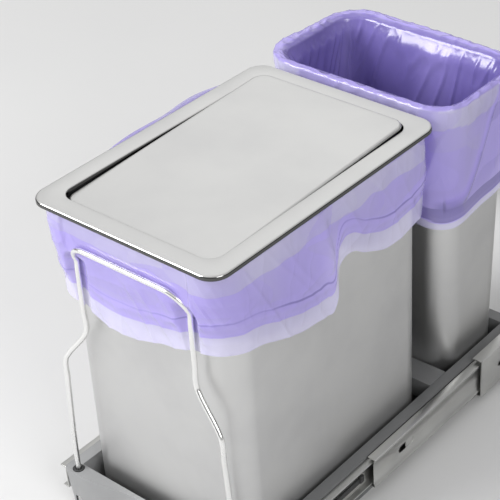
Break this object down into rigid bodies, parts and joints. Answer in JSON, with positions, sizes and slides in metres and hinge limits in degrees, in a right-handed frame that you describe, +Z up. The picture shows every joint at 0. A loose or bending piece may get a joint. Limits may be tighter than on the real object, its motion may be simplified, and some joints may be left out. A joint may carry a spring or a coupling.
{
  "type": "pull-out waste bin unit",
  "caption": "Sliding under-counter waste unit: a frame on ball-bearing slides carries a lined open bin and a lined bin with a swing lid, with a bent wire pull in front.",
  "frame": {"origin": "middle of the box around the unit as pulled out, at the underside of the base pan", "axes": "+Z up, -Y the front that is pulled, +X the right-hand side seen from the front; the slides run along Y"},
  "size_m": [0.2478, 0.802, 0.3512],
  "materials": {
    "satin_steel": "satin",
    "bin_steel": "satin",
    "bright_wire": "polished",
    "frame_paint": "semi-matt",
    "zinc_steel": "zinc plated",
    "black_plastic": "moulded",
    "grey_plastic": "moulded",
    "liner_film": "thin film",
    "cast_iron": "as cast"
  },
  "bodies": {
    "cabinet_slides": {"cabinet_member_left": "zinc_steel", "cabinet_member_right": "zinc_steel"},
    "outer_cage_left": {"outer_ball_cage_left": "zinc_steel"},
    "middle_left": {"middle_member_left": "zinc_steel"},
    "inner_cage_left": {"inner_ball_cage_left": "zinc_steel"},
    "outer_cage_right": {"outer_ball_cage_right": "zinc_steel"},
    "middle_right": {"middle_member_right": "zinc_steel"},
    "inner_cage_right": {"inner_ball_cage_right": "zinc_steel"},
    "frame": {"front_beam": "frame_paint", "crossbar": "frame_paint", "rear_beam": "frame_paint", "base_pan": "zinc_steel", "wire_handle": "bright_wire", "side_rail_left": "frame_paint", "drawer_member_left": "zinc_steel", "member_screw_front_left": "zinc_steel", "member_screw_rear_left": "zinc_steel", "pan_screw_front_left": "zinc_steel", "pan_screw_rear_left": "zinc_steel", "handle_grommet_left": "black_plastic", "handle_nut_left": "zinc_steel", "side_rail_right": "frame_paint", "drawer_member_right": "zinc_steel", "member_screw_front_right": "zinc_steel", "member_screw_rear_right": "zinc_steel", "pan_screw_front_right": "zinc_steel", "pan_screw_rear_right": "zinc_steel", "handle_grommet_right": "black_plastic", "handle_nut_right": "zinc_steel"},
    "lever_left": {"release_lever_left": "black_plastic"},
    "lever_right": {"release_lever_right": "black_plastic"},
    "front_bin": {"front_bin": "bin_steel", "front_liner": "liner_film"},
    "lid": {"lid_trim": "satin_steel", "lid_carrier": "black_plastic", "pivot_bush_left": "grey_plastic", "pivot_bush_right": "grey_plastic"},
    "flap": {"swing_panel": "satin_steel", "panel_backing": "black_plastic", "pivot_pin_left": "zinc_steel", "pivot_pin_right": "zinc_steel", "counterweight": "cast_iron", "weight_screw_left": "zinc_steel", "weight_screw_right": "zinc_steel"},
    "rear_bin": {"rear_bin": "bin_steel", "rear_liner": "liner_film"}
  },
  "joints": [
    {"name": "frame_slide", "type": "slide", "parent": "cabinet_slides", "child": "frame", "axis": [0, -1, 0], "range_m": [-0.353, 0.082]},
    {"name": "outer_cage_slide_left", "type": "slide", "parent": "cabinet_slides", "child": "outer_cage_left", "axis": [0, -1, 0], "range_m": [-0.08875, 0.021]},
    {"name": "middle_slide_left", "type": "slide", "parent": "cabinet_slides", "child": "middle_left", "axis": [0, -1, 0], "range_m": [-0.177, 0.0415]},
    {"name": "inner_cage_slide_left", "type": "slide", "parent": "cabinet_slides", "child": "inner_cage_left", "axis": [0, -1, 0], "range_m": [-0.26525, 0.062]},
    {"name": "outer_cage_slide_right", "type": "slide", "parent": "cabinet_slides", "child": "outer_cage_right", "axis": [0, -1, 0], "range_m": [-0.08875, 0.021]},
    {"name": "middle_slide_right", "type": "slide", "parent": "cabinet_slides", "child": "middle_right", "axis": [0, -1, 0], "range_m": [-0.177, 0.0415]},
    {"name": "inner_cage_slide_right", "type": "slide", "parent": "cabinet_slides", "child": "inner_cage_right", "axis": [0, -1, 0], "range_m": [-0.26525, 0.062]},
    {"name": "lever_pivot_left", "type": "hinge", "parent": "frame", "child": "lever_left", "pos_m": [-0.113, -0.276, 0.0315], "axis": [1, 0, 0], "range_deg": [0, 8], "stiffness_Nm_per_rad": 0.02},
    {"name": "lever_pivot_right", "type": "hinge", "parent": "frame", "child": "lever_right", "pos_m": [0.113, -0.276, 0.0315], "axis": [1, 0, 0], "range_deg": [0, 8], "stiffness_Nm_per_rad": 0.02},
    {"name": "front_bin_lift", "type": "slide", "parent": "frame", "child": "front_bin", "axis": [0, 0, 1], "range_m": [0, 0.36]},
    {"name": "rear_bin_lift", "type": "slide", "parent": "frame", "child": "rear_bin", "axis": [0, 0, 1], "range_m": [0, 0.36]},
    {"name": "lid_lift", "type": "slide", "parent": "front_bin", "child": "lid", "axis": [0, 0, 1], "range_m": [0, 0.12]},
    {"name": "flap_swing", "type": "hinge", "parent": "lid", "child": "flap", "pos_m": [0, -0.248, 0.3398], "axis": [1, 0, 0], "range_deg": [-72, 68]}
  ],
  "couplings": [
    {"joint": "outer_cage_slide_left", "follows": "frame_slide", "ratio": 0.25},
    {"joint": "middle_slide_left", "follows": "frame_slide", "ratio": 0.5},
    {"joint": "inner_cage_slide_left", "follows": "frame_slide", "ratio": 0.75},
    {"joint": "outer_cage_slide_right", "follows": "frame_slide", "ratio": 0.25},
    {"joint": "middle_slide_right", "follows": "frame_slide", "ratio": 0.5},
    {"joint": "inner_cage_slide_right", "follows": "frame_slide", "ratio": 0.75}
  ]
}
